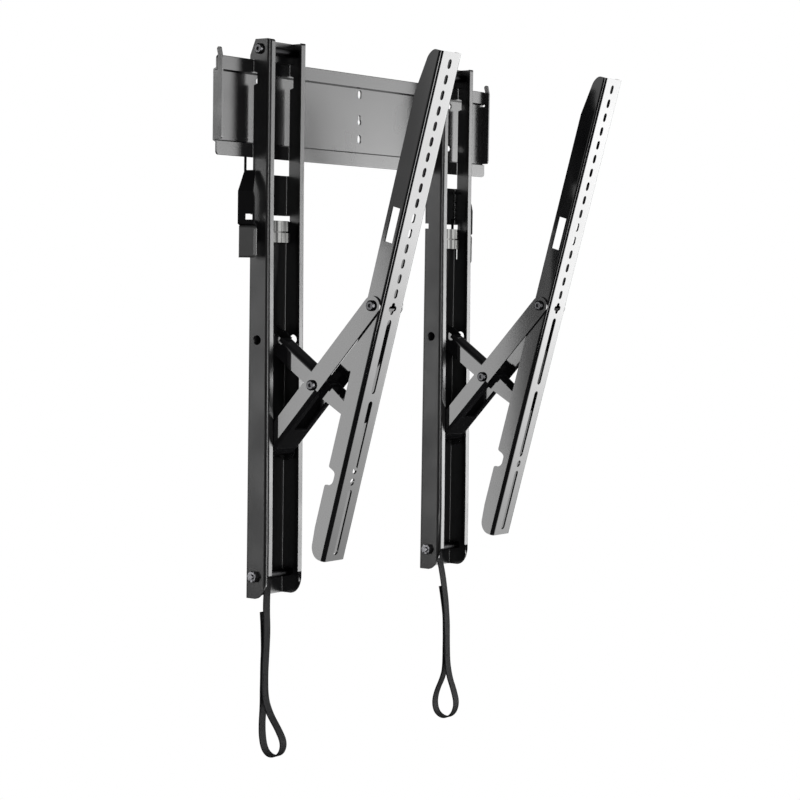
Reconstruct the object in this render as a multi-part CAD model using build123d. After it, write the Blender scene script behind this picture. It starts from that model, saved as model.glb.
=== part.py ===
"""Tilting wall bracket for a large screen: a wall plate, two hanging uprights, and two tilting rails.

Millimetres. +X runs along the wall to the right, +Y goes into the wall, +Z is up. The origin is the middle of
the wall plate's back face, so the wall is the plane Y = 0. A "depth" below is a distance out from the wall.
"""

from build123d import *
import math
import os

# wall plate
PLATE_W = 622.0
PANEL_H = 93.0
LIP_H = 18.0
LIP_STEP = 4.5
PLATE_T = 2.5
EAR_DEPTH = 15.0
EAR_RISE = 10.0
WALL_COLUMN = 220.0
WALL_HOLE = 8.0
WALL_SLOT = 15.0
MIDDLE_SLOT = 12.0
WALL_HOLE_Z = (-26.0, 37.0)
KEYHOLE_Z = -2.0

# uprights
RAIL_SPACING = 400.0
SHEET = 2.5
CHANNEL_W = 78.0
CHANNEL_DEPTH = 33.0
CHANNEL_BACK = 2.0
CHANNEL_MOUTH = 55.0
BEND = 5.0
UPRIGHT_TOP = 91.0
UPRIGHT_BOTTOM = -660.0
LIP_END = -620.0
HOOK_BACK = 1.4
HOOK_T = 2.3
HOOK_DROP = 12.0
PLATE_GAP = 1.2
SEAT_GAP = 0.3
ACCESS_HOLE = 13.0
HEAD_DROP = 21.0
HEAD_SLOPE = 9.0
HEAD_ROUND = 4.0
FOOT_ROUND = 26.0
HEEL_ROUND = 3.0
STEP_DROP = 4.0

# cross bolts
BOLT_D = 8.0
SPACER_D = 11.0
HEAD_D = 14.0
HEAD_H = 4.5
SOCKET = 5.0
FIT = 0.05
BOLT_DEPTH = 18.0
TOP_BOLT_Z = 78.0
BOTTOM_BOLT_Z = -622.0

# latch
LATCH_TRAVEL = 14.0
LATCH_T = 2.0
LATCH_OVERLAP = 10.0
JAW_DROP = 17.0
FINGER_REACH = 8.5
SHOULDER = 14.0
FLARE_H = 28.0
WING_REACH = 22.5
WING_TOP = -155.0
WING_H = 42.0
WING_DEPTH = 23.2
WING_LEAN = 0.24
WING_ROUND = 5.0
GRIP_T = 4.0
GRIP_OVERHANG = 1.8
GRIP_INSET = 0.4
GRIP_BEVEL = 2.4
BASE_TOP = -147.0
BASE_H = 29.0
BASE_DEPTH = 8.0
SLOT_GAP = 7.5
SIGHT_REAR = 10.0
SIGHT_L = 11.0
SLIDE_FIT = 0.4
ANCHOR_W = 36.0
ANCHOR_DEPTH = 16.0
ANCHOR_LOW_H = 13.0
ANCHOR_NECK = 2.0
ANCHOR_ROUND = 4.0
SPRING_D = 6.0
SPRING_WIRE = 1.1
SPRING_TURNS = 6
SPRING_X = 25.0
SPRING_LENGTH = 36.0
SPRING_TAB_H = 16.0
SPRING_TAB_W = 4.0
SPRING_PIN = 4.0

# lift arms
ARM_T = 2.5
LONG_ARM_W = 52.0
LONG_ARM_H = 25.0
SHORT_ARM_W = 25.0
SHORT_ARM_H = 24.0
SHORT_PIVOT_DEPTH = 20.0
SHORT_PIVOT_Z = -306.0
CENTRE_DEPTH = 101.7
CENTRE_Z = -363.0
LONG_ANGLE = 42.2
LONG_UPPER = 143.0
GLIDE_D = 22.0
GLIDE_GAP = 0.15
WEB_END = 0.0
WINDOW_END = -72.0
PIVOT_EAR_GAP = 0.5
PIVOT_EAR_H = 20.0
PIVOT_EAR_NOSE = 9.0
PIVOT_EAR_ROUND = 8.0
PIVOT_EAR_FOOT = 14.0
LONG_TIP = 10.0
LONG_TAPER = 40.0
ARM_GAP = 1.2
TIP_INSET = 0.5

# rails
RAIL_W = 46.0
RAIL_DEPTH = 26.0
RAIL_T = 2.5
RAIL_TILT = 15.1
RAIL_ABOVE = 335.0
RAIL_BELOW = 346.0
PIVOT_TO_FACE = 15.0
RAIL_GLIDE_D = 14.0
RAIL_GLIDE_ROOM = 2.4
SIDE_GAP = 0.5
HOLE_PITCH = 20.0
HOLE_COUNT = 16
HOLE_W = 7.0
HOLE_L = 12.5
FIRST_HOLE = 15.0
SLOT_W = 8.5
SLOT_L = 100.0
SLOT_PITCH = 110.0
END_SLOT_L = 91.0
END_SLOT_Z = 53.5
END_HOLE_Z = 110.0
NOTCH_Z = 112.0
NOTCH_DEPTH = 12.0
WINDOW_Z = 107.0
WINDOW_L = 46.0
WINDOW_W = 12.5

# pull straps
STRAP_W = 14.0
STRAP_T = 2.0
STRAP_TOP = [
    (16.0, -176.0), (16.0, -206.0), (8.5, -252.0), (7.0, -330.0), (7.1, -450.0), (7.0, -546.0), (9.3, -598.0),
]
STRAP_HANG = {
    "left": [
        (9.4, -634.0), (7.0, -664.0), (9.3, -704.0), (5.8, -756.0), (6.4, -792.0), (15.0, -813.0), (31.0, -833.0),
        (41.0, -850.0), (36.0, -866.0), (20.0, -872.0), (7.0, -864.0), (2.4, -845.0), (2.0, -824.0),
        (3.6, -808.0), (3.6, -792.0),
    ],
    "right": [
        (9.6, -630.0), (20.0, -668.0), (28.0, -726.0), (28.6, -786.0), (33.0, -815.0), (42.5, -837.0),
        (48.0, -856.0), (42.0, -873.0), (27.0, -880.5), (12.0, -874.0), (7.4, -858.0), (11.5, -840.0),
        (21.0, -821.0), (25.8, -804.0), (25.8, -786.0),
    ],
}
STRAP_TAIL = {
    "left": [(3.6, -792.0), (3.6, -756.0), (5.2, -712.0), (2.0, -675.0)],
    "right": [(25.8, -786.0), (25.8, -750.0), (24.4, -715.0), (17.0, -681.0)],
}

HALF = CHANNEL_W / 2
FRONT = CHANNEL_BACK + CHANNEL_DEPTH
LIP_BACK = LIP_STEP
LIP_FRONT = LIP_STEP + PLATE_T
LIP_TOP = PANEL_H / 2 + LIP_H
HANG_DEPTH = LIP_FRONT + PLATE_GAP
CENTRE_DROP = SHORT_PIVOT_Z - CENTRE_Z
SHORT_UPPER = math.hypot(CENTRE_DEPTH - SHORT_PIVOT_DEPTH, CENTRE_DROP)
SHORT_ANGLE = math.degrees(math.atan2(CENTRE_DEPTH - SHORT_PIVOT_DEPTH, CENTRE_DROP))
GLIDE_DEPTH = CHANNEL_BACK + SHEET + GLIDE_D / 2 + GLIDE_GAP
LONG_LOWER = (CENTRE_DEPTH - GLIDE_DEPTH) / math.sin(math.radians(LONG_ANGLE))
GLIDE_TO_FACE = RAIL_T + RAIL_GLIDE_D / 2 + RAIL_GLIDE_ROOM
UPPER_DEPTH = CENTRE_DEPTH + LONG_UPPER * math.sin(math.radians(LONG_ANGLE))
UPPER_Z = CENTRE_Z + LONG_UPPER * math.cos(math.radians(LONG_ANGLE))
TILT_COS = math.cos(math.radians(RAIL_TILT))
TILT_SIN = math.sin(math.radians(RAIL_TILT))


def ahead(depth, z):
    """How far a point lies ahead along the tilted rail's facing direction."""
    return depth * TILT_COS - z * TILT_SIN


SHORT_STEP = ahead(math.sin(math.radians(SHORT_ANGLE)), -math.cos(math.radians(SHORT_ANGLE)))
SHORT_LOWER = (
    ahead(UPPER_DEPTH, UPPER_Z) + PIVOT_TO_FACE - GLIDE_TO_FACE - ahead(CENTRE_DEPTH, CENTRE_Z)
) / SHORT_STEP

os.makedirs("parts", exist_ok=True)


def side_face(points, arcs=()):
    """A face in the side view from (depth, z) corners; arcs rounds the corner nearest to each (depth, z, radius)."""
    face = Plane.YZ * make_face(Polyline(*[(-d, z) for d, z in points], close=True))
    for depth, z, radius in arcs:
        corner = min(face.vertices(), key=lambda v: math.hypot(v.Y + depth, v.Z - z))
        face = fillet(corner, radius)
    return face


def side_plate(face, x_low, x_high):
    """A side-view face given its thickness along X."""
    return extrude(Pos(x_low, 0, 0) * face, amount=x_high - x_low, dir=(1, 0, 0))


def block(x_low, x_high, near, far, z_low, z_high):
    """A box between two X, two depths and two heights."""
    middle = ((x_low + x_high) / 2, -(near + far) / 2, (z_low + z_high) / 2)
    return Pos(*middle) * Box(x_high - x_low, far - near, z_high - z_low)


def rod(depth, z, diameter, x_low, x_high):
    """A round bar along X."""
    turned = Pos((x_low + x_high) / 2, -depth, z) * Rot(0, 90, 0)
    return turned * Cylinder(diameter / 2, x_high - x_low)


def tube(depth, z, outside, inside, x_low, x_high):
    """A plain bush or spacer along X."""
    return rod(depth, z, outside, x_low, x_high) - rod(depth, z, inside, x_low - 1, x_high + 1)


def cross_bolt(depth, z, half_grip):
    """A shoulder bolt along X with a bevelled socket head on each end, seated at half_grip from the middle."""
    head = Cylinder(HEAD_D / 2, HEAD_H, align=(Align.CENTER, Align.CENTER, Align.MIN))
    head = chamfer(head.edges().sort_by(Axis.Z)[-1], HEAD_H * 0.4)
    socket = extrude(RegularPolygon(SOCKET / 2, 6, major_radius=False), amount=HEAD_H)
    head = head - Pos(0, 0, HEAD_H * 0.45) * socket
    bolt = Cylinder(BOLT_D / 2, 2 * half_grip)
    bolt = bolt + Pos(0, 0, half_grip) * head + Pos(0, 0, -half_grip) * Rot(180, 0, 0) * head
    return Pos(0, -depth, z) * Rot(0, 90, 0) * bolt


def oblong(length, width, along_z, x, y, z):
    """A round-ended cutter through Y, long along Z or along X."""
    slot = SlotOverall(length, width, rotation=90 if along_z else 0)
    return Pos(x, y, z) * Rot(90, 0, 0) * extrude(slot, amount=20, both=True)


def wall_plate():
    """One folded sheet: panel on the wall, lips stepped forward above and below it, and an ear at each end. Each lip
    is a solid of its own that meets the panel's step at the bend, which keeps the gap behind it plainly open."""
    step, fold = PLATE_T * 0.8, PLATE_T * 0.6
    half = PANEL_H / 2
    profile = [
        (LIP_BACK, -LIP_TOP), (LIP_BACK, -half - fold), (0, step - half - fold), (0, half - step + fold),
        (LIP_BACK, half + fold), (LIP_BACK, LIP_TOP), (LIP_FRONT, LIP_TOP), (LIP_FRONT, half),
        (PLATE_T, half - step), (PLATE_T, step - half), (LIP_FRONT, -half), (LIP_FRONT, -LIP_TOP),
    ]
    round_top = [(LIP_FRONT, LIP_TOP, 1.0), (LIP_FRONT, -LIP_TOP, 1.0)]
    plate = side_plate(side_face(profile, round_top), -PLATE_W / 2, PLATE_W / 2)
    plate = plate & extrude(Plane.XZ * RectangleRounded(PLATE_W, 2 * LIP_TOP, BEND), amount=50, both=True)
    top_zone = block(-PLATE_W, PLATE_W, 0, LIP_FRONT + 1, half + fold, LIP_TOP + 1)
    low_zone = mirror(top_zone, about=Plane.XY)
    lips = [plate & top_zone, plate & low_zone]
    plate = plate - top_zone - low_zone
    finger = 7.0
    ear = side_face(
        [
            (0, -half + step), (EAR_DEPTH, -half + step), (EAR_DEPTH, LIP_TOP - 4),
            (EAR_DEPTH - 3, LIP_TOP + EAR_RISE), (EAR_DEPTH - 3 - finger, LIP_TOP + EAR_RISE),
            (LIP_FRONT + 0.4, LIP_TOP + 1), (LIP_FRONT + 0.4, half - step - 2), (0, half - step - 2),
        ],
        [
            (EAR_DEPTH, -half + step, 4.0), (EAR_DEPTH, LIP_TOP - 4, 6.0),
            (EAR_DEPTH - 3, LIP_TOP + EAR_RISE, 3.0), (EAR_DEPTH - 3 - finger, LIP_TOP + EAR_RISE, 3.0),
        ],
    )
    for end in (-1, 1):
        outer = end * PLATE_W / 2
        inner = outer - end * PLATE_T
        plate = plate + side_plate(ear, min(inner, outer), max(inner, outer))
    for height in WALL_HOLE_Z:
        plate = plate - oblong(MIDDLE_SLOT, WALL_HOLE, True, 0, 0, height)
        for column in (-WALL_COLUMN, WALL_COLUMN):
            plate = plate - oblong(WALL_SLOT, WALL_HOLE, False, column, 0, height)
    plate = plate - oblong(WALL_HOLE, WALL_HOLE - FIT, True, 0, 0, KEYHOLE_Z)
    plate = plate - oblong(MIDDLE_SLOT, WALL_HOLE * 0.6, True, 0, 0, KEYHOLE_Z + WALL_HOLE / 2)
    return Compound(children=[plate, *lips])


def upright():
    """A lipped channel, open at the front, whose side walls carry the hooks that hang on the wall plate."""
    outer = Pos(0, -CHANNEL_BACK - CHANNEL_DEPTH / 2) * RectangleRounded(CHANNEL_W, CHANNEL_DEPTH, BEND)
    inner = offset(outer, -SHEET)
    mouth = Pos(0, -FRONT) * Rectangle(CHANNEL_MOUTH, 3 * SHEET)
    section = Pos(0, 0, UPRIGHT_BOTTOM) * (outer - inner - mouth)
    channel = extrude(section, amount=UPRIGHT_TOP - UPRIGHT_BOTTOM)
    web_top = -LIP_TOP - JAW_DROP - STEP_DROP
    notch_low, notch_high = PANEL_H / 2 - 16, PANEL_H / 2
    slot_top = LIP_TOP + SEAT_GAP
    hook_front = HOOK_BACK + HOOK_T
    side = [
        (CHANNEL_BACK, UPRIGHT_BOTTOM), (CHANNEL_BACK, web_top), (HANG_DEPTH, web_top),
        (HANG_DEPTH, notch_low), (HANG_DEPTH + 5.8, notch_low + 2), (HANG_DEPTH + 5.8, notch_high),
        (HANG_DEPTH, notch_high + 2), (HANG_DEPTH, slot_top), (hook_front, slot_top),
        (hook_front, LIP_TOP - HOOK_DROP), (HOOK_BACK, LIP_TOP - HOOK_DROP), (HOOK_BACK, UPRIGHT_TOP - HEAD_DROP),
        (HOOK_BACK + HEAD_SLOPE, UPRIGHT_TOP), (FRONT, UPRIGHT_TOP), (FRONT, UPRIGHT_BOTTOM),
    ]
    rounds = [
        (FRONT, UPRIGHT_BOTTOM, FOOT_ROUND), (FRONT, UPRIGHT_TOP, HEAD_ROUND),
        (CHANNEL_BACK, UPRIGHT_BOTTOM, HEEL_ROUND),
    ]
    outline = side_face(side, rounds)
    behind = block(-HALF, HALF, 0, FRONT - BEND, LIP_TOP - HOOK_DROP, UPRIGHT_TOP)
    walls = side_plate(outline, -HALF, -HALF + SHEET) + side_plate(outline, HALF - SHEET, HALF)
    body = (channel & side_plate(outline, -HALF, HALF)) + (walls & behind)
    body = body - block(-HALF + SHEET, HALF - SHEET, 0, HANG_DEPTH, web_top, UPRIGHT_TOP)
    head_near = BOLT_DEPTH - SPACER_D / 2 - SHEET - SIDE_GAP
    head = block(-HALF + SHEET, HALF - SHEET, head_near, head_near + SHEET, slot_top, UPRIGHT_TOP)
    body = body + (head & side_plate(outline, -HALF, HALF))
    lips_off = block(-HALF + SHEET, HALF - SHEET, FRONT - SHEET, FRONT + 1, UPRIGHT_BOTTOM - 1, LIP_END)
    body = body - lips_off
    for z in (TOP_BOLT_Z, BOTTOM_BOLT_Z):
        body = body - rod(BOLT_DEPTH, z, BOLT_D + 2 * FIT, -HALF - 1, HALF + 1)
    body = body - rod(BOLT_DEPTH, SHORT_PIVOT_Z, ACCESS_HOLE, -HALF - 1, HALF + 1)
    slot_low = BASE_TOP - BASE_H - LATCH_TRAVEL - 1
    near, far = BASE_DEPTH - SLIDE_FIT, BASE_DEPTH + LATCH_T + SLIDE_FIT
    body = body - block(HALF - SHEET - 1, HALF + 1, near, far, slot_low, BASE_TOP + SLOT_GAP)
    return body - block(-HALF - 1, HALF + 1, 0, far, BASE_TOP, BASE_TOP + SLOT_GAP)


def pivot_ears():
    """Two angle pieces welded inside the channel that hold the short arm's pivot."""
    inner = SHORT_ARM_W / 2 + PIVOT_EAR_GAP
    back, nose = CHANNEL_BACK + SHEET, SHORT_PIVOT_DEPTH + PIVOT_EAR_NOSE
    low, high = SHORT_PIVOT_Z - PIVOT_EAR_H, SHORT_PIVOT_Z + PIVOT_EAR_H
    face = side_face(
        [
            (back, low), (nose, SHORT_PIVOT_Z - PIVOT_EAR_NOSE), (nose, SHORT_PIVOT_Z + PIVOT_EAR_NOSE),
            (back, high),
        ],
        [
            (nose, SHORT_PIVOT_Z - PIVOT_EAR_NOSE, PIVOT_EAR_ROUND),
            (nose, SHORT_PIVOT_Z + PIVOT_EAR_NOSE, PIVOT_EAR_ROUND),
        ],
    )
    foot = block(inner, inner + PIVOT_EAR_FOOT, back, back + SHEET, low, high)
    ear = side_plate(face, inner, inner + SHEET) + foot
    ear = ear - rod(SHORT_PIVOT_DEPTH, SHORT_PIVOT_Z, BOLT_D, 0, inner + PIVOT_EAR_FOOT)
    return Compound(children=[ear, mirror(ear, about=Plane.YZ)])


def pivot_pin(depth, z, half):
    """A plain headed-over pin."""
    return rod(depth, z, BOLT_D, -half, half)


def wing_seat():
    """How far out the catch's sheet lies behind its thumb pad."""
    return HALF + WING_REACH - LATCH_T - GRIP_T


def lean_back(face, reach):
    """Stretch a face of the XZ plane forward, closing in on the channel as it goes."""
    return extrude(face, amount=reach * math.hypot(1, WING_LEAN), dir=(-WING_LEAN, -1, 0))


def latch_frame():
    """The sliding catch: a cross plate through the channel, a flared cheek outside it, and a finger behind the lip."""
    close = HALF + FINGER_REACH
    wide, seat = HALF + WING_REACH - LATCH_T, wing_seat()
    jaw = -LIP_TOP - JAW_DROP
    flare = jaw - FLARE_H
    low, top = WING_TOP - WING_H, WING_TOP + GRIP_INSET
    tip = -LIP_TOP + LATCH_OVERLAP
    sheet = [
        (close, tip), (close + LATCH_T, tip), (close + LATCH_T, jaw - LATCH_T), (wide + LATCH_T, flare),
        (wide + LATCH_T, top + LATCH_T), (seat + LATCH_T, top), (seat + LATCH_T, low), (seat, low),
        (seat, top + LATCH_T), (wide, top + 2 * LATCH_T), (wide, flare), (close, jaw - LATCH_T),
    ]
    bent = Plane.XZ * make_face(Polyline(*sheet, close=True))
    front = HOOK_BACK + WING_DEPTH
    bent = lean_back(bent, front)
    finger = HOOK_BACK + HOOK_T
    shoulder = HOOK_BACK + SHOULDER
    outline = side_face(
        [
            (HOOK_BACK, low), (front, low), (front, flare + shoulder - front), (shoulder, jaw), (finger, jaw),
            (finger, tip - HOOK_T), (finger - HOOK_T / 2, tip), (HOOK_BACK, tip),
        ],
        [(front, low, WING_ROUND)],
    )
    cheek = bent & side_plate(outline, HALF, wide + LATCH_T)
    sight = HOOK_BACK + SIGHT_REAR
    cheek = cheek - block(HALF, wide + LATCH_T, sight, sight + SIGHT_L, BASE_TOP, BASE_TOP + SLOT_GAP)
    near, far = BASE_DEPTH, BASE_DEPTH + LATCH_T
    base_end = seat + LATCH_T / 2 - WING_LEAN * (near + far) / 2
    base = block(-HALF + SHEET + SLIDE_FIT, base_end, near, far, BASE_TOP - BASE_H, BASE_TOP)
    strip_x = (SPRING_X - SPRING_TAB_W / 2, SPRING_X + SPRING_TAB_W / 2)
    strip_top = BASE_TOP + SPRING_TAB_H
    strip = block(*strip_x, near, far, BASE_TOP - LATCH_T, strip_top)
    strip = strip + block(*strip_x, near, far + SPRING_D, strip_top - LATCH_T, strip_top)
    return base + cheek + strip


def latch_grips():
    """The moulded thumb pad on the outside of the catch's wing."""
    front = HOOK_BACK + WING_DEPTH + GRIP_OVERHANG
    low, out, thick = WING_TOP - WING_H, wing_seat() + LATCH_T, GRIP_T - GRIP_INSET
    face = side_face(
        [(HOOK_BACK, low), (front, low), (front, WING_TOP), (HOOK_BACK, WING_TOP)],
        [(front, low, WING_ROUND), (front, WING_TOP, WING_ROUND)],
    )
    edge = Plane.XZ * Pos(out + thick / 2, WING_TOP - WING_H / 2) * Rectangle(thick, WING_H)
    pad = lean_back(edge, front) & side_plate(face, HALF, out + thick)
    outside = max(pad.faces(), key=lambda side: side.normal_at().X)
    return chamfer(outside.edges(), GRIP_BEVEL)


def strap_anchor():
    """The plated anchor on the cross plate that the pull strap hangs from: two rounded blocks on one neck."""
    near = BASE_DEPTH + LATCH_T
    low, high = BASE_TOP - BASE_H, BASE_TOP
    neck_low = low + ANCHOR_LOW_H
    neck_high = neck_low + ANCHOR_NECK
    half = ANCHOR_W / 2
    foot = block(-half, half, near, near + ANCHOR_DEPTH, low, neck_low)
    foot = fillet(foot.edges().filter_by(Axis.Y).group_by(Axis.Z)[0], ANCHOR_ROUND)
    head = block(-half, half, near, near + ANCHOR_DEPTH, neck_high, high)
    head = fillet(head.edges().filter_by(Axis.Z).group_by(Axis.Y)[0], ANCHOR_ROUND)
    inset = ANCHOR_ROUND
    neck = block(inset - half, half - inset, near, near + ANCHOR_DEPTH - inset, neck_low, neck_high)
    return foot + neck + head


def spring_place():
    """Depth of the catch spring's middle line, and the heights of its lower and upper end."""
    low = BASE_TOP + SPRING_TAB_H + SPRING_WIRE / 2 + FIT
    return BASE_DEPTH + LATCH_T + SPRING_D / 2, low, low + SPRING_LENGTH


def latch_springs():
    """The extension spring, close to the outer wall, that pulls the catch up behind the lip."""
    depth, low, high = spring_place()
    path = Helix(SPRING_LENGTH / SPRING_TURNS, high - low, (SPRING_D - SPRING_WIRE) / 2)
    wire = Plane(origin=path @ 0, z_dir=path % 0) * RegularPolygon(SPRING_WIRE / 2, 4)
    return Pos(SPRING_X, -depth, low) * sweep(wire, path=path)


def spring_bar():
    """The pin in the outer wall that the spring's upper end hangs on."""
    depth, low, high = spring_place()
    z = high + SPRING_WIRE / 2 + FIT + SPRING_PIN / 2
    return rod(depth, z, SPRING_PIN, SPRING_X - SPRING_D / 2, HALF - SHEET)


def link_face(ends):
    """A flat link drawn round discs, given as (height, radius) up the middle line."""
    discs = [edge for z, radius in ends for edge in (Pos(0, z) * Circle(radius)).edges()]
    return Plane.YZ * make_hull(discs)


def swing(part, angle, depth, z):
    """Turns an upright link so that its top leans out by angle, and sets its pin at the given depth and height."""
    return Pos(0, -depth, z) * Rot(angle, 0, 0) * part


def folded_link(face, width, height, web_low, web_high):
    """Two side walls of the given outline, folded from one sheet with a front web between two heights."""
    half_w, half_h = width / 2, height / 2
    wall = side_plate(face, half_w - ARM_T, half_w)
    lane = block(-half_w - 1, half_w + 1, half_h - BEND, half_h + 1, web_low, web_high)
    outer = fillet((Pos(0, -half_h + BEND) * Rectangle(width, 2 * BEND)).vertices().group_by(Axis.Y)[0], BEND)
    inner = Pos(0, -half_h + BEND + ARM_T) * Rectangle(width - 2 * ARM_T, 2 * BEND)
    inner = fillet(inner.vertices().group_by(Axis.Y)[0], BEND - ARM_T)
    fold = extrude(Pos(0, 0, web_low) * (outer - inner), amount=web_high - web_low)
    return (wall + mirror(wall, about=Plane.YZ) - lane) + (fold & lane)


def long_arm():
    """The outer arm: two side walls joined by a front web at the lower end, with narrow returns further up."""
    half_w, half_h = LONG_ARM_W / 2, LONG_ARM_H / 2
    low_end = -LONG_LOWER - LONG_TIP
    face = side_face(
        [
            (-half_h, LONG_UPPER + half_h), (half_h, LONG_UPPER + half_h), (half_h, low_end),
            (-LONG_TIP, low_end), (-LONG_TIP, -LONG_LOWER), (-half_h, LONG_TAPER - LONG_LOWER),
        ],
        [
            (-half_h, LONG_UPPER + half_h, half_h - FIT), (half_h, LONG_UPPER + half_h, half_h - FIT),
            (half_h, low_end, LONG_TIP), (-LONG_TIP, low_end, LONG_TIP - FIT),
        ],
    )
    body = folded_link(face, LONG_ARM_W, LONG_ARM_H, LONG_TIP - LONG_LOWER, WEB_END)
    window = SHORT_ARM_W / 2 + ARM_GAP
    body = body - block(-window, window, half_h - ARM_T - 1, half_h + 1, WINDOW_END, WEB_END + 1)
    for z in (0, LONG_UPPER, -LONG_LOWER):
        body = body - rod(0, z, BOLT_D + 2 * FIT, -half_w - 1, half_w + 1)
    return swing(body, LONG_ANGLE, CENTRE_DEPTH, CENTRE_Z)


def short_arm():
    """The inner arm: two side walls joined by a front web above the centre pin."""
    half_w, half_h = SHORT_ARM_W / 2, SHORT_ARM_H / 2
    tip = RAIL_GLIDE_D / 2 - TIP_INSET
    face = link_face([(SHORT_UPPER, half_h), (0, half_h), (-SHORT_LOWER, tip)])
    body = folded_link(face, SHORT_ARM_W, SHORT_ARM_H, half_h, SHORT_UPPER - half_h)
    for z in (0, SHORT_UPPER, -SHORT_LOWER):
        body = body - rod(0, z, BOLT_D + 2 * FIT, -half_w - 1, half_w + 1)
    return swing(body, -SHORT_ANGLE, CENTRE_DEPTH, CENTRE_Z)


def pair_of_tubes(depth, z, outside, x_low, x_high):
    """A bush on each side of the middle."""
    bush = tube(depth, z, outside, BOLT_D, x_low, x_high)
    return Compound(children=[bush, mirror(bush, about=Plane.YZ)])


def tv_rail():
    """The tilting rail that the screen is bolted to: a channel, open at the back, with rows of holes."""
    face_depth = PIVOT_TO_FACE
    back = PIVOT_TO_FACE - RAIL_DEPTH
    high, low = RAIL_ABOVE, -RAIL_BELOW
    outer = Pos(0, -(face_depth + back) / 2) * Rectangle(RAIL_W, RAIL_DEPTH)
    outer = fillet(outer.vertices().group_by(Axis.Y)[0], BEND)
    inner = Pos(0, -(face_depth + back) / 2 + RAIL_T) * Rectangle(RAIL_W - 2 * RAIL_T, RAIL_DEPTH)
    inner = fillet(inner.vertices().group_by(Axis.Y)[0], BEND - RAIL_T)
    rail = extrude(Pos(0, 0, low) * (outer - inner), amount=high - low)
    notch_z, notch = low + NOTCH_Z, back + NOTCH_DEPTH
    side = side_face(
        [
            (face_depth, low), (face_depth, high), (back, high), (back, notch_z + 12),
            (notch, notch_z + 8), (notch, notch_z - 12), (back, notch_z - 12), (back, low),
        ],
        [
            (back, high, 14.0), (back, low, 16.0), (notch, notch_z + 8, 6.0),
            (notch, notch_z - 12, 9.0), (back, notch_z + 12, 3.0), (back, notch_z - 12, 3.0),
        ],
    )
    rail = rail & side_plate(side, -RAIL_W, RAIL_W)
    window = (-RAIL_W, RAIL_W, 1 - WINDOW_W / 2, 1 + WINDOW_W / 2)
    rail = rail - block(*window, WINDOW_Z - WINDOW_L / 2, WINDOW_Z + WINDOW_L / 2)
    first = high - FIRST_HOLE
    front = -face_depth
    for k in range(HOLE_COUNT):
        rail = rail - (oblong(HOLE_L, HOLE_W, True, 0, front, first - k * HOLE_PITCH) & front_only())
    key = first - HOLE_COUNT * HOLE_PITCH
    rail = rail - (oblong(HOLE_L * 1.3, HOLE_W, True, 0, front, key) & front_only())
    rail = rail - (oblong(HOLE_L * 1.3, HOLE_W, False, 0, front, key) & front_only())
    slots = [
        (key - SLOT_PITCH + SLOT_L / 2 - 5, SLOT_L), (key - 2 * SLOT_PITCH + SLOT_L / 2 - 5, SLOT_L),
        (low + END_HOLE_Z, HOLE_L * 0.8), (low + END_SLOT_Z, END_SLOT_L),
    ]
    for middle, length in slots:
        rail = rail - (oblong(length, SLOT_W, True, 0, front, middle) & front_only())
    rail = rail - rod(0, 0, BOLT_D + 2 * FIT, -RAIL_W, RAIL_W)
    return swing(rail, RAIL_TILT, UPPER_DEPTH, UPPER_Z)


def front_only():
    """The slab of a rail's front wall, which keeps its hole cutters out of everything else."""
    return block(-RAIL_W, RAIL_W, PIVOT_TO_FACE - RAIL_T - 1, PIVOT_TO_FACE + 1, -RAIL_BELOW - 1, RAIL_ABOVE + 1)


def route_radii(points):
    """The largest arc that each corner's two runs leave room for."""
    radii = []
    for before, corner, after in zip(points, points[1:], points[2:]):
        leg_in, leg_out = Vector(*corner) - Vector(*before), Vector(*after) - Vector(*corner)
        turn = math.radians(leg_in.get_angle(leg_out))
        radii.append(0.45 * min(leg_in.length, leg_out.length) / math.tan(turn / 2))
    return radii


def webbing(points):
    """A flat strap, its width along X, along (depth, z) points."""
    corners = [(0, -depth, z) for depth, z in points]
    route = FilletPolyline(*corners, radius=route_radii(corners))
    section = Plane(origin=route @ 0, x_dir=(1, 0, 0), z_dir=route % 0) * Rectangle(STRAP_W, STRAP_T)
    return sweep(section, path=route)


def pull_strap(side):
    """Webbing from the catch down the channel, behind the bottom bolt, and round the hand loop to its seam."""
    return webbing(STRAP_TOP + STRAP_HANG[side])


def strap_tail(side):
    """The webbing's end, sewn to the back of the hanging strap above the loop."""
    return webbing(STRAP_TAIL[side])


def at_pin(kind):
    """Where a named pin of the linkage lies, as depth and height."""
    lean, drop = math.radians(LONG_ANGLE), math.radians(SHORT_ANGLE)
    places = {
        "centre": (CENTRE_DEPTH, CENTRE_Z),
        "upper": (UPPER_DEPTH, UPPER_Z),
        "track": (CENTRE_DEPTH - LONG_LOWER * math.sin(lean), CENTRE_Z - LONG_LOWER * math.cos(lean)),
        "rail": (CENTRE_DEPTH + SHORT_LOWER * math.sin(drop), CENTRE_Z - SHORT_LOWER * math.cos(drop)),
    }
    return places[kind]


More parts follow.
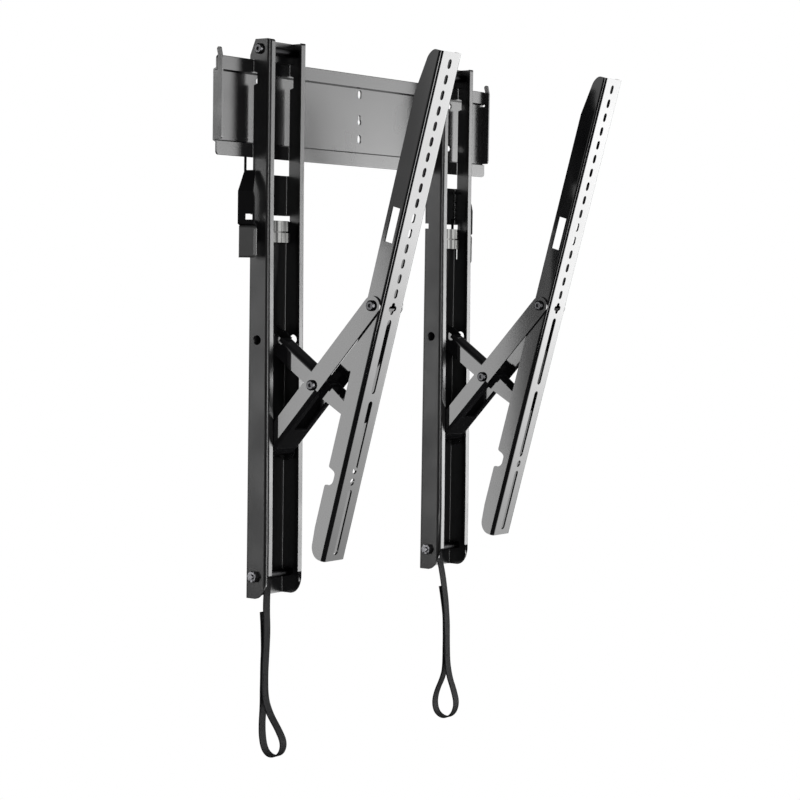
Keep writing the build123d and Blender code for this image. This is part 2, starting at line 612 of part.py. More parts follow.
def side_set():
    """Every rigid piece of the right-hand upright with its arms, rail and catch, about X = 0."""
    long_half, short_half = LONG_ARM_W / 2, SHORT_ARM_W / 2
    glide_out = HALF - BEND - SIDE_GAP
    track, rail_pin = at_pin("track"), at_pin("rail")
    ear_out = short_half + PIVOT_EAR_GAP + SHEET
    inside = HALF - SHEET
    bolt_fit = BOLT_D + 2 * FIT
    return {
        "upright": upright(),
        "pivot_ears": pivot_ears(),
        "top_bolt": cross_bolt(BOLT_DEPTH, TOP_BOLT_Z, HALF),
        "top_spacer": tube(BOLT_DEPTH, TOP_BOLT_Z, SPACER_D, bolt_fit, -inside, inside),
        "bottom_bolt": cross_bolt(BOLT_DEPTH, BOTTOM_BOLT_Z, HALF),
        "bottom_spacer": tube(BOLT_DEPTH, BOTTOM_BOLT_Z, SPACER_D, bolt_fit, -inside, inside),
        "spring_bar": spring_bar(),
        "latch_frame": latch_frame(),
        "latch_grips": latch_grips(),
        "latch_springs": latch_springs(),
        "strap_anchor": strap_anchor(),
        "short_pivot_pin": pivot_pin(SHORT_PIVOT_DEPTH, SHORT_PIVOT_Z, ear_out + 2),
        "short_arm": short_arm(),
        "rail_glide_pin": pivot_pin(*rail_pin, short_half),
        "rail_glide": tube(*rail_pin, RAIL_GLIDE_D, BOLT_D, -short_half + ARM_T, short_half - ARM_T),
        "centre_bolt": cross_bolt(*at_pin("centre"), long_half),
        "centre_bushes": pair_of_tubes(*at_pin("centre"), SPACER_D, short_half + 0.2, long_half - ARM_T),
        "long_arm": long_arm(),
        "track_pin": pivot_pin(*track, glide_out),
        "track_glides": pair_of_tubes(*track, GLIDE_D, long_half, glide_out),
        "upper_bolt": cross_bolt(*at_pin("upper"), long_half),
        "tv_rail": tv_rail(),
    }


export_step(wall_plate(), "parts/wall_plate.step")
pieces = side_set()
for name, x in (("left", -RAIL_SPACING / 2), ("right", RAIL_SPACING / 2)):
    straps = {"pull_strap": pull_strap(name), "strap_tail": strap_tail(name)}
    for piece, solid in {**pieces, **straps}.items():
        turned = mirror(solid, about=Plane.YZ) if name == "left" else solid
        export_step(Pos(x, 0, 0) * turned, f"parts/{name}_{piece}.step")
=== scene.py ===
"""A tilting wall bracket for a large screen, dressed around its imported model.

Metres, in the model's own frame: +X along the wall, +Y into the wall, +Z up, with the origin on the wall
behind the plate.
"""

import math

import bmesh
import bpy
import numpy as np
from mathutils import Matrix, Vector


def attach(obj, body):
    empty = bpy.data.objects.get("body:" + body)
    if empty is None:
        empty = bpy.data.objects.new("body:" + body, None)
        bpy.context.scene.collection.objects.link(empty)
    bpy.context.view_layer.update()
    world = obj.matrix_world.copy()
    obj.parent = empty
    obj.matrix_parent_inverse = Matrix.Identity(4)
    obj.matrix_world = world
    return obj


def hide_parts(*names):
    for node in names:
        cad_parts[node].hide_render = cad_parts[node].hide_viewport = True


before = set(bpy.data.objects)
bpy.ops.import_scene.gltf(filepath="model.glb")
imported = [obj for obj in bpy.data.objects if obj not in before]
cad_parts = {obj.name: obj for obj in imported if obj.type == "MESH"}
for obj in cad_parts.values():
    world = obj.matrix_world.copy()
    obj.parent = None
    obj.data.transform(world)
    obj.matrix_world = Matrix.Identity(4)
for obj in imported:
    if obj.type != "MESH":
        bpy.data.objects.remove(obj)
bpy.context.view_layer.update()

# The studio: a white backdrop low round the back and a pale floor, both plain white to the camera. Dark drapes
# hang on the camera's side and overhead, and the coat mirrors the floor dark, so it shows white, dark and lamps
# in turn round each bend. A tall panel to the front right lights the fronts, and small lamps the left sides.


def linear(code):
    """An sRGB hex colour as linear red, green, blue and alpha: each channel goes through the sRGB curve."""
    channels = np.array([int(code[i : i + 2], 16) for i in (1, 3, 5)]) / 255.0
    curved = np.where(channels <= 0.04045, channels / 12.92, ((channels + 0.055) / 1.055) ** 2.4)
    return (*curved.tolist(), 1.0)


def node(tree, kind, links=(), **settings):
    """Adds a shader node. Settings set its fields, or its inputs where in_NAME is given, and links joins
    outputs of other nodes to its inputs, as (input, other node, output)."""
    made = tree.nodes.new(kind)
    for name, value in settings.items():
        if name.startswith("in_"):
            key = name[3:]
            made.inputs[int(key) if key.isdigit() else key.replace("_", " ")].default_value = value
        else:
            setattr(made, name, value)
    for socket, other, output in links:
        tree.links.new(other.outputs[output], made.inputs[socket])
    return made


bpy.context.scene.view_settings.view_transform = "Standard"
WHITE = (1, 1, 1, 1)
ROOM_LIGHT, DRAPE_LIGHT = 0.55, 0.04
# in degrees: the drapes hang between two angles round from +X, with soft edges, and the backdrop fades out
# between two angles above the horizon
DRAPE_FROM, DRAPE_TO, DRAPE_SOFT = 166.0, 300.0, 5.0
BACKDROP_LOW, BACKDROP_HIGH = 16.0, 30.0
room = bpy.data.worlds.new("white_room")
room.use_nodes = True
walls = room.node_tree
walls.nodes.clear()
rays = node(walls, "ShaderNodeLightPath")
way = node(walls, "ShaderNodeTexCoord")
parts = node(walls, "ShaderNodeSeparateXYZ", [(0, way, "Generated")])
# with both parts negated the arctangent gives the angle less 180 degrees, and its seam lies at +X
back_x = node(walls, "ShaderNodeMath", [(0, parts, "X")], operation="MULTIPLY", in_1=-1.0)
back_y = node(walls, "ShaderNodeMath", [(0, parts, "Y")], operation="MULTIPLY", in_1=-1.0)
turn = node(walls, "ShaderNodeMath", [(0, back_y, 0), (1, back_x, 0)], operation="ARCTAN2")
rise = node(walls, "ShaderNodeMath", [(0, parts, "Z")], operation="ABSOLUTE")
starts, ends = [
    node(
        walls, "ShaderNodeMapRange", [("Value", turn, 0)], interpolation_type="SMOOTHSTEP",
        in_From_Min=math.radians(edge - 180.0 - DRAPE_SOFT),
        in_From_Max=math.radians(edge - 180.0 + DRAPE_SOFT),
        in_To_Min=before, in_To_Max=after,
    )
    for edge, before, after in ((DRAPE_FROM, 0.0, 1.0), (DRAPE_TO, 1.0, 0.0))
]
low = node(
    walls, "ShaderNodeMapRange", [("Value", rise, 0)], interpolation_type="SMOOTHSTEP",
    in_From_Min=math.sin(math.radians(BACKDROP_LOW)), in_From_Max=math.sin(math.radians(BACKDROP_HIGH)),
    in_To_Min=1.0, in_To_Max=0.0,
)
drape = node(walls, "ShaderNodeMath", [(0, starts, 0), (1, ends, 0)], operation="MULTIPLY")
open_side = node(walls, "ShaderNodeMath", [(1, drape, 0)], operation="SUBTRACT", in_0=1.0)
backdrop = node(walls, "ShaderNodeMath", [(0, open_side, 0), (1, low, 0)], operation="MULTIPLY")
mirrored = node(
    walls, "ShaderNodeMapRange", [("Value", backdrop, 0)], in_To_Min=DRAPE_LIGHT, in_To_Max=1.0
)
camera_or_clear = node(
    walls, "ShaderNodeMath", [(0, rays, "Is Camera Ray"), (1, rays, "Is Transmission Ray")],
    operation="MAXIMUM",
)
lit = node(walls, "ShaderNodeBackground", in_Color=WHITE, in_Strength=ROOM_LIGHT)
gloss = node(walls, "ShaderNodeBackground", [("Strength", mirrored, 0)], in_Color=WHITE)
plain = node(walls, "ShaderNodeBackground", in_Color=WHITE, in_Strength=1.0)
shiny = node(walls, "ShaderNodeMixShader", [(0, rays, "Is Glossy Ray"), (1, lit, 0), (2, gloss, 0)])
both = node(walls, "ShaderNodeMixShader", [(0, camera_or_clear, 0), (1, shiny, 0), (2, plain, 0)])
node(walls, "ShaderNodeOutputWorld", [(0, both, 0)])
bpy.context.scene.world = room


def blank_material(name):
    """A new material with an empty node tree, and that tree."""
    made = bpy.data.materials.new(name)
    made.use_nodes = True
    made.node_tree.nodes.clear()
    return made, made.node_tree


def placed(name, data):
    """A new object in the scene, at the origin."""
    made = bpy.data.objects.new(name, data)
    bpy.context.scene.collection.objects.link(made)
    return made


FLOOR_Z, FLOOR_HALF = -2.6, 12.0
SQUARE = ((-1, -1), (1, -1), (1, 1), (-1, 1))
pale, boards = blank_material("pale_floor")
looks = node(boards, "ShaderNodeLightPath")
paint = node(boards, "ShaderNodeBsdfDiffuse", in_Color=linear("#dcdcda"))
dusk = node(boards, "ShaderNodeBsdfDiffuse", in_Color=linear("#2c2c2c"))
glow = node(boards, "ShaderNodeEmission", in_Color=WHITE, in_Strength=1.0)
shaded = node(boards, "ShaderNodeMixShader", [(0, looks, "Is Glossy Ray"), (1, paint, 0), (2, dusk, 0)])
mixed = node(boards, "ShaderNodeMixShader", [(0, looks, "Is Camera Ray"), (1, shaded, 0), (2, glow, 0)])
node(boards, "ShaderNodeOutputMaterial", [(0, mixed, 0)])
ground = bpy.data.meshes.new("floor")
ground.from_pydata([(x * FLOOR_HALF, y * FLOOR_HALF, FLOOR_Z) for x, y in SQUARE], [], [(0, 1, 2, 3)])
ground.materials.append(pale)
floor = placed("floor", ground)


def softbox(name, place, target, size, watts):
    """A rectangular lamp at place that faces target."""
    lamp = bpy.data.lights.new(name, "AREA")
    lamp.shape = "RECTANGLE"
    lamp.size, lamp.size_y = size
    lamp.energy = watts
    holder = placed(name, lamp)
    holder.location = place
    holder.rotation_euler = (Vector(target) - Vector(place)).to_track_quat("-Z", "Y").to_euler()
    holder.visible_camera = False


# the strip stands beside the camera; the others stand far back on the left, where the left sides mirror them.
# Of the right rail's side, the faint last one reaches only the top.
softbox("strip", (-1.93, -2.30, -0.30), (0.0, 0.0, -0.30), (0.50, 2.2), 42)
softbox("left_far", (-4.05, 2.85, -0.82), (-0.20, -0.10, -0.36), (0.44, 1.50), 12.3)
softbox("left_high", (-3.95, 3.35, 0.42), (-0.31, 0.0, 0.0), (0.40, 0.50), 9.0)
softbox("right_high", (-4.05, 2.30, 0.20), (0.18, -0.24, -0.10), (0.24, 0.95), 0.65)

PANEL_PLACE, PANEL_FACING, PANEL_HALF = Vector((2.30, -1.60, 0.0)), Vector((-0.829, 0.559, 0.0)), 0.95
PANEL_LOW, PANEL_HIGH, PANEL_PEAK = -2.5, 1.4, 11.5
# heights up the panel and its brightness at each
PANEL_GLOW = [
    (-2.5, 2.0), (-1.9, 2.8), (-1.55, 4.2), (-1.25, 6.8), (-0.95, 10.2), (-0.75, 10.2), (-0.5, 11.5),
    (-0.2, 9.5), (0.1, 6.2), (0.35, 4.4), (1.4, 3.0),
]
panel_light, cloth = blank_material("light_panel")
spot = node(cloth, "ShaderNodeTexCoord")
axes = node(cloth, "ShaderNodeSeparateXYZ", [(0, spot, "Object")])
height = node(
    cloth, "ShaderNodeMapRange", [("Value", axes, "Z")], in_From_Min=PANEL_LOW, in_From_Max=PANEL_HIGH
)
fall = node(cloth, "ShaderNodeValToRGB", [(0, height, 0)])
stops = fall.color_ramp.elements
for k, (z, glow_level) in enumerate(PANEL_GLOW):
    place = (z - PANEL_LOW) / (PANEL_HIGH - PANEL_LOW)
    stop = stops[k] if k < 2 else stops.new(place)  # a new ramp has two stops
    stop.position = place
    stop.color = (*[glow_level / PANEL_PEAK] * 3, 1.0)
lamp_cloth = node(cloth, "ShaderNodeEmission", [("Color", fall, 0)], in_Strength=PANEL_PEAK)
node(cloth, "ShaderNodeOutputMaterial", [(0, lamp_cloth, 0)])
sideways = Vector((PANEL_FACING.y, -PANEL_FACING.x, 0.0)) * PANEL_HALF
panel_rise = {-1: PANEL_LOW, 1: PANEL_HIGH}
panel_mesh = bpy.data.meshes.new("light_panel")
panel_mesh.from_pydata(
    [PANEL_PLACE + x * sideways + Vector((0.0, 0.0, panel_rise[y])) for x, y in SQUARE], [], [(0, 1, 2, 3)]
)
panel_mesh.materials.append(panel_light)
panel = placed("light_panel", panel_mesh)
panel.visible_camera = False

# The camera stands to the front left, a little above the middle, with a long lens: its place and direction come
# from a fit to the hole pitch and the rail spacing.
CAMERA_TURN = math.radians(53.912)
CAMERA_DROP = math.radians(3.186)
CAMERA_ROLL = math.radians(0.836)
CAMERA_PLACE = Vector((-2.4193, -1.8438, -0.2249))
FOCAL_PIXELS, FRAME_PIXELS, SENSOR_MM = 2138.4, 800.0, 36.0
ahead = Vector(
    (
        math.sin(CAMERA_TURN) * math.cos(CAMERA_DROP),
        math.cos(CAMERA_TURN) * math.cos(CAMERA_DROP),
        -math.sin(CAMERA_DROP),
    )
)
level = Vector((math.cos(CAMERA_TURN), -math.sin(CAMERA_TURN), 0.0))
raised = level.cross(ahead)
right = level * math.cos(CAMERA_ROLL) + raised * math.sin(CAMERA_ROLL)
upward = right.cross(ahead)
lens = bpy.data.cameras.new("camera")
lens.sensor_width = SENSOR_MM
lens.lens = FOCAL_PIXELS / FRAME_PIXELS * SENSOR_MM
camera = placed("camera", lens)
turned = Matrix((right, upward, -ahead)).transposed().to_4x4()
camera.matrix_world = Matrix.Translation(CAMERA_PLACE) @ turned
bpy.context.scene.camera = camera

# The wall plate: 2.5 mm mild steel sheet, punched and folded, with a lip stepped forward along the top and
# bottom edges, and dipped black. Screws through its slots hold it to the wall.
# the patches of the coat's film, the levels at which it counts as thin and thick, and the drift of its gloss
FILM_MM, FILM_LOW, FILM_HIGH, GLOSS_DRIFT = 62.5, 0.3, 0.7, 0.15


def finish_node(name, finish):
    """Puts a finish on every material slot of a solid from the model."""
    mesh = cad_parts[name].data
    if not mesh.materials:
        mesh.materials.append(finish)
    for k in range(len(mesh.materials)):
        mesh.materials[k] = finish


def black_enamel(name, dark, light, rough, peel_mm, ior=1.5, peel_rise=0.10):
    """Stoved black enamel on steel sheet: an even gloss, F0 about 0.04 at the default IOR, so it is nearly black
    until it mirrors something bright. The film dries with a faint orange peel, drawn at peel_mm so that it shows
    close up, and its gloss drifts a little where the film is thicker, over patches of about 60 mm."""
    made, tree = blank_material(name)
    place = node(tree, "ShaderNodeTexCoord")
    film = node(
        tree, "ShaderNodeTexNoise", [("Vector", place, "Object")], in_Scale=1000.0 / FILM_MM, in_Detail=3.0
    )
    peel = node(
        tree, "ShaderNodeTexNoise", [("Vector", place, "Object")], in_Scale=1000.0 / peel_mm, in_Detail=2.0
    )
    colour = node(tree, "ShaderNodeValToRGB", [(0, film, "Fac")])
    thin, thick = colour.color_ramp.elements
    thin.position, thick.position = FILM_LOW, FILM_HIGH
    thin.color, thick.color = linear(dark), linear(light)
    gloss = node(
        tree, "ShaderNodeMapRange", [("Value", film, "Fac")], in_From_Min=FILM_LOW, in_From_Max=FILM_HIGH,
        in_To_Min=rough * (1.0 - GLOSS_DRIFT), in_To_Max=rough * (1.0 + GLOSS_DRIFT),
    )
    bump = node(tree, "ShaderNodeBump", [("Height", peel, "Fac")], in_Strength=peel_rise, in_Distance=0.0001)
    coat = node(
        tree, "ShaderNodeBsdfPrincipled",
        [("Base Color", colour, 0), ("Roughness", gloss, 0), ("Normal", bump, 0)], in_IOR=ior,
    )
    node(tree, "ShaderNodeOutputMaterial", [(0, coat, 0)])
    return made


plate_enamel = black_enamel("black_enamel_plate", "#0b0b0c", "#111112", 0.25, 1.6)
finish_node("wall_plate", plate_enamel)

# The uprights: lipped channels roll-formed from 2.5 mm sheet, enamelled black, that hang on the plate's top lip
# by hooks cut in their side walls. Two folded ears are welded inside each for the short arm's pivot.
SIDES = {"left": -0.2, "right": 0.2}
upright_enamel = black_enamel("black_enamel_upright", "#0a0a0b", "#101011", 0.34, 1.4)
MERGE_WITHIN, CUT_WITHIN = 1e-6, 1e-7
# how much deeper the channel gets, the heights from and to which it deepens, and the depths that take part
DEEPEN, DEEPEN_FROM, DEEPEN_TO = 0.0040, -0.110, -0.560
DEEPEN_BACK, DEEPEN_FRONT = 0.020, 0.0345
# the ellipse round the foot's front corner: its centre's depth and height, its half sizes, and the cuts' angles
FOOT_DEPTH, FOOT_Z, FOOT_A, FOOT_B = 0.0185, -0.6205, 0.0155, 0.0312
FOOT_CUTS = np.radians(np.arange(30.0, 91.0, 10.0))


def corner_array(mesh):
    """The corners of a mesh as an array with one row each."""
    points = np.empty(len(mesh.vertices) * 3)
    mesh.vertices.foreach_get("co", points)
    return points.reshape(-1, 3)


def merged_copy(solid):
    """A copy of a solid's mesh with its loose faces joined; the lines where they meet stay sharp."""
    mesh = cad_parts[solid].data.copy()
    mesh.materials.clear()
    shape = bmesh.new()
    shape.from_mesh(mesh)
    for line in shape.edges:
        line.smooth = not line.is_boundary
    bmesh.ops.remove_doubles(shape, verts=shape.verts, dist=MERGE_WITHIN)
    return mesh, shape


def cut_across(shape, place, outward, **settings):
    """Cuts a shape's faces along the plane through place that faces outward."""
    return bmesh.ops.bisect_plane(
        shape, geom=shape.verts[:] + shape.edges[:] + shape.faces[:], plane_co=place, plane_no=outward, **settings
    )


def rounded_foot(name, solid):
    """A merged copy of the channel, cut off across its foot and round the front lower corner of its walls. The
    cuts are planes tangent to an ellipse in the side view: depth is a centre plus a times the cosine of an angle,
    z is a centre less b times its sine. Each cut is closed by faces that look out along the plane's normal. The
    channel also grows deeper downwards: a point moves forward by a share that rises from 0 to 1 down its height,
    times a share that rises from 0 to 1 over the front part of its depth."""
    mesh, shape = merged_copy(solid)
    for height in (DEEPEN_FROM, DEEPEN_TO):
        cut_across(shape, (0.0, 0.0, height), (0.0, 0.0, 1.0))
    for angle in FOOT_CUTS:
        touch = (0.0, -FOOT_DEPTH - FOOT_A * math.cos(angle), FOOT_Z - FOOT_B * math.sin(angle))
        outward = Vector((0.0, -math.cos(angle) / FOOT_A, -math.sin(angle) / FOOT_B)).normalized()
        cut = cut_across(shape, touch, outward, dist=CUT_WITHIN, clear_outer=True)
        rim = [part for part in cut["geom_cut"] if isinstance(part, bmesh.types.BMEdge)]
        closed = bmesh.ops.edgenet_fill(shape, edges=rim)["faces"]
        for face in closed:
            face.normal_update()
            if face.normal.dot(outward) < 0:
                face.normal_flip()
        bmesh.ops.triangulate(shape, faces=closed)
    bmesh.ops.dissolve_degenerate(shape, dist=MERGE_WITHIN, edges=shape.edges)
    shape.to_mesh(mesh)
    shape.free()
    points = corner_array(mesh)
    lower = np.clip((points[:, 2] - DEEPEN_FROM) / (DEEPEN_TO - DEEPEN_FROM), 0.0, 1.0)
    outer = np.clip((-points[:, 1] - DEEPEN_BACK) / (DEEPEN_FRONT - DEEPEN_BACK), 0.0, 1.0)
    points[:, 1] -= DEEPEN * lower * outer
    mesh.vertices.foreach_set("co", points.ravel())
    mesh.update()
    return placed(name, mesh)


for side in SIDES:
    channel = rounded_foot(f"{side}_channel", f"{side}_upright")
    channel.data.materials.append(upright_enamel)
    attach(channel, f"{side}_upright")
    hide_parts(f"{side}_upright")
    finish_node(f"{side}_pivot_ears", upright_enamel)


def closed_tube(name, rings, uv_along, uv_round):
    """A mesh from rings of points carried along a path, rings[i, j], with both ends closed by a fan, and a UV map
    in metres: round the section and along the path."""
    count, around = rings.shape[:2]
    middles = [rings[0].mean(0, keepdims=True), rings[-1].mean(0, keepdims=True)]
    points = np.concatenate([rings.reshape(-1, 3), *middles])
    i, j = np.meshgrid(np.arange(count - 1), np.arange(around), indexing="ij")
    here, beyond = i * around, (i + 1) * around
    k = (j + 1) % around
    quads = np.stack([here + j, here + k, beyond + k, beyond + j], -1).reshape(-1, 4)
    ring = np.arange(around)
    beside = (ring + 1) % around
    first, last, last_ring = count * around, count * around + 1, (count - 1) * around
    low = np.stack([np.full(around, first), beside, ring], -1)
    high = np.stack([np.full(around, last), last_ring + ring, last_ring + beside], -1)
    mesh = bpy.data.meshes.new(name)
    mesh.from_pydata(points.tolist(), [], quads.tolist() + low.tolist() + high.tolist())
    layer = mesh.uv_layers.new(name="surface")
    # the seam's far side takes one more step of the same size
    end_round = np.append(uv_round, 2 * uv_round[-1] - uv_round[-2])
    quad_uv = np.stack(
        [
            np.stack([end_round[j], uv_along[i]], -1),
            np.stack([end_round[j + 1], uv_along[i]], -1),
            np.stack([end_round[j + 1], uv_along[i + 1]], -1),
            np.stack([end_round[j], uv_along[i + 1]], -1),
        ],
        axis=2,
    ).reshape(-1, 2)
    caps = np.zeros((2 * around * 3, 2))
    layer.data.foreach_set("uv", np.concatenate([quad_uv, caps]).ravel())
    mesh.validate()
    mesh.update()
    mesh.shade_smooth()
    return placed(name, mesh)


def bar_rings(places, radii, turn, depth, z):
    """Rings of points round a bar along X: at each place, a radius times the cosine and sine of an angle, from an
    axis at a depth and a height."""
    return np.stack(
        np.broadcast_arrays(places[:, None], -depth - radii * np.cos(turn), z + radii * np.sin(turn)), axis=-1
    )


# The closing plate in each upright's head ends in a rolled lower edge, which shuts the slit above the lip of the
# wall plate. It is the same enamelled sheet as the upright.
HEAD_EDGE_R, HEAD_EDGE_HALF = 0.00125, 0.0363
HEAD_EDGE_DEPTH, HEAD_EDGE_Z = 0.01075, 0.0648
HEAD_EDGE_RINGS, HEAD_EDGE_AROUND = 13, 16
edge_turn = -np.linspace(0.0, 2 * math.pi, HEAD_EDGE_AROUND + 1)[:-1]
for side, x in SIDES.items():
    across = np.linspace(x - HEAD_EDGE_HALF, x + HEAD_EDGE_HALF, HEAD_EDGE_RINGS)
    edge_rings = bar_rings(across, HEAD_EDGE_R, edge_turn, HEAD_EDGE_DEPTH, HEAD_EDGE_Z)
    head_edge = closed_tube(f"{side}_head_edge", edge_rings, across, -edge_turn * HEAD_EDGE_R)
    head_edge.data.materials.append(upright_enamel)
    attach(head_edge, f"{side}_upright")

# Cross bolts, spacers and pins: turned steel with a black-oxide finish, dark grey and rather shiny, with the fine
# rings that turning leaves, the spacers drawn near black as painted shade. The bolts hold the channels' walls
# apart and carry the arms.
STREAKS_PER_M, STREAK_GLOSS = (1250.0, 60.0, 60.0), 0.06


def black_oxide(name, colour_low, colour_high, rough):
    """Turned steel under black oxide: a dark metal with thin streaks round its axis, which lies along X. The
    streaks are drawn 0.8 mm apart, coarser than a real tool mark, and about 17 mm long."""
    made, tree = blank_material(name)
    place = node(tree, "ShaderNodeTexCoord")
    stretch = node(tree, "ShaderNodeMapping", [("Vector", place, "Object")], in_Scale=STREAKS_PER_M)
    rings = node(tree, "ShaderNodeTexNoise", [("Vector", stretch, 0)], in_Scale=1.0, in_Detail=2.0)
    colour = node(tree, "ShaderNodeValToRGB", [(0, rings, "Fac")])
    groove, crest = colour.color_ramp.elements
    groove.color, crest.color = linear(colour_low), linear(colour_high)
    gloss = node(
        tree, "ShaderNodeMapRange", [("Value", rings, "Fac")],
        in_To_Min=rough - STREAK_GLOSS, in_To_Max=rough + STREAK_GLOSS,
    )
    bump = node(tree, "ShaderNodeBump", [("Height", rings, "Fac")], in_Strength=0.08, in_Distance=0.0001)
    steel = node(
        tree, "ShaderNodeBsdfPrincipled",
        [("Base Color", colour, 0), ("Roughness", gloss, 0), ("Normal", bump, 0)], in_Metallic=1.0,
    )
    node(tree, "ShaderNodeOutputMaterial", [(0, steel, 0)])
    return made


bolt_steel = black_oxide("black_oxide_steel", "#3a3a3b", "#58585a", 0.30)
BOLTED = (
    "top_bolt", "spring_bar", "short_pivot_pin", "rail_glide_pin", "centre_bolt", "track_pin", "upper_bolt",
)
# painted shade: the spacers' steel is drawn near black, for the channels' shade round them
spacer_steel_painted_shade = black_oxide("black_oxide_spacer_painted_shade", "#0c0c0d", "#171718", 0.40)
for side in SIDES:
    for piece in BOLTED:
        finish_node(f"{side}_{piece}", bolt_steel)
    for piece in ("top_spacer", "bottom_spacer"):
        finish_node(f"{side}_{piece}", spacer_steel_painted_shade)

# The bottom bolt is a stud with a hexagon nut and its turned end outside each wall, its steel drawn lighter than
# the other bolts' as painted light. Its half, from the middle out, in millimetres: the place, the radius, which
# is to the flats on the nut, and 1 where the section is a hexagon.
STUD_DEPTH, STUD_Z, STUD_UV_R, STUD_AROUND = 0.018, -0.622, 0.004, 48
STUD_HALF = [
    (0.0, 3.9, 0), (39.05, 3.9, 0), (39.05, 6.9, 0), (39.5, 7.2, 1), (44.6, 7.2, 1), (45.2, 6.6, 0),
    (45.2, 3.8, 0), (47.2, 3.8, 0), (47.7, 3.2, 0),
]
STUD_SHARP = math.radians(25.0)
# painted light: the nut's steel is drawn lighter than the bolts' so that it does not mirror the drapes as black
nut_steel_painted_light = black_oxide("dipped_nut_painted_light", "#6e6e71", "#9a9a9d", 0.36)
stud_turn = -np.linspace(0.0, 2 * math.pi, STUD_AROUND + 1)[:-1]
# a flat's distance from the axis is its radius over the cosine of the angle from its middle
six_sided = 1.0 / np.cos(stud_turn % (math.pi / 3) - math.pi / 6)
half_stud = np.array(STUD_HALF) / (1000.0, 1000.0, 1.0)
stud_profile = np.concatenate([half_stud[:0:-1] * (-1.0, 1.0, 1.0), half_stud])
stud_radius = stud_profile[:, 1:2] * np.where(stud_profile[:, 2:3] > 0, six_sided[None], 1.0)
for side, x in SIDES.items():
    stud_rings = bar_rings(x + stud_profile[:, 0], stud_radius, stud_turn, STUD_DEPTH, STUD_Z)
    stud = closed_tube(f"{side}_foot_stud", stud_rings, stud_profile[:, 0], -stud_turn * STUD_UV_R)
    stud.data.set_sharp_from_angle(angle=STUD_SHARP)
    stud.data.materials.append(nut_steel_painted_light)
    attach(stud, f"{side}_upright")
    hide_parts(f"{side}_bottom_bolt")

# The latches: a catch folded from 2 mm sheet slides in each channel behind the plate's bottom lip, with a moulded
# thumb pad on its flared outer wing. A pressed zinc-plated anchor on its cross plate holds the pull strap, and a
# wire spring draws the catch up.
catch_enamel = black_enamel("matt_black_catch", "#070708", "#0c0c0d", 0.62, 1.2, ior=1.14)
PITS_PER_M, TONES_PER_M = 900.0, 60.0
# the draw marks set the zinc's gloss; the bands set its painted shade and reflection bands and a ripple in its
# bump
DRAW_MARKS_PER_M, SHEEN_AND_RIPPLE_BANDS_PER_M = (500.0, 500.0, 22.0), (150.0, 150.0, 6.0)


def moulded_pad(name):
    """Moulded nylon with a spark-eroded grain: dark grey, satin, with pits drawn 1.1 mm apart."""
    made, tree = blank_material(name)
    place = node(tree, "ShaderNodeTexCoord")
    grain = node(tree, "ShaderNodeTexVoronoi", [("Vector", place, "Object")], in_Scale=PITS_PER_M)
    tone = node(tree, "ShaderNodeTexNoise", [("Vector", place, "Object")], in_Scale=TONES_PER_M, in_Detail=3.0)
    colour = node(tree, "ShaderNodeValToRGB", [(0, tone, "Fac")])
    dull, bright = colour.color_ramp.elements
    dull.color, bright.color = linear("#2b2b2b"), linear("#363636")
    bump = node(tree, "ShaderNodeBump", [("Height", grain, "Distance")], in_Strength=0.22, in_Distance=0.0002)
    gloss = node(tree, "ShaderNodeMapRange", [("Value", tone, "Fac")], in_To_Min=0.36, in_To_Max=0.46)
    nylon = node(
        tree, "ShaderNodeBsdfPrincipled",
        [("Base Color", colour, 0), ("Roughness", gloss, 0), ("Normal", bump, 0)], in_IOR=1.53,
    )
    node(tree, "ShaderNodeOutputMaterial", [(0, nylon, 0)])
    return made


def zinc_plate(name):
    """Zinc plating on a pressing, with painted shade and painted reflections: drawn far darker than bright zinc,
    as the channel's shade, near black to mid grey in upright painted bands about 7 mm wide, which also set a
    bump, with thin draw marks in its gloss, drawn 2 mm apart."""
    made, tree = blank_material(name)
    place = node(tree, "ShaderNodeTexCoord")
    stretch = node(tree, "ShaderNodeMapping", [("Vector", place, "Object")], in_Scale=DRAW_MARKS_PER_M)
    marks = node(tree, "ShaderNodeTexNoise", [("Vector", stretch, 0)], in_Scale=1.0, in_Detail=3.0)
    broad = node(tree, "ShaderNodeMapping", [("Vector", place, "Object")], in_Scale=SHEEN_AND_RIPPLE_BANDS_PER_M)
    bands = node(tree, "ShaderNodeTexNoise", [("Vector", broad, 0)], in_Scale=1.0, in_Detail=1.0)
    colour = node(tree, "ShaderNodeValToRGB", [(0, bands, "Fac")])
    dull, bright = colour.color_ramp.elements
    dull.position, bright.position = 0.38, 0.62
    # painted shade and painted reflection: near black in the bands' low parts, mid grey in their high parts
    dull.color, bright.color = linear("#080808"), linear("#464645")
    gloss = node(tree, "ShaderNodeMapRange", [("Value", marks, "Fac")], in_To_Min=0.18, in_To_Max=0.36)
    bump = node(tree, "ShaderNodeBump", [("Height", bands, "Fac")], in_Strength=0.5, in_Distance=0.0012)
    metal = node(
        tree, "ShaderNodeBsdfPrincipled",
        [("Base Color", colour, 0), ("Roughness", gloss, 0), ("Normal", bump, 0)], in_Metallic=1.0,
    )
    node(tree, "ShaderNodeOutputMaterial", [(0, metal, 0)])
    return made


pad_nylon, anchor_zinc = moulded_pad("moulded_nylon_pad"), zinc_plate("zinc_pressing_painted_shade")
spring_wire = black_oxide("oiled_spring_wire", "#1b1b1c", "#2b2b2d", 0.34)
for side in SIDES:
    finish_node(f"{side}_latch_frame", catch_enamel)
    finish_node(f"{side}_latch_grips", pad_nylon)
    finish_node(f"{side}_strap_anchor", anchor_zinc)
    finish_node(f"{side}_latch_springs", spring_wire)

# The pull straps: black polypropylene webbing, 14 mm wide and 2 mm thick. Each hangs from the latch down the
# channel, passes behind the bottom bolt, and is turned back on itself and sewn to make a hand loop.
STRAP_W, STRAP_T = 0.014, 0.002
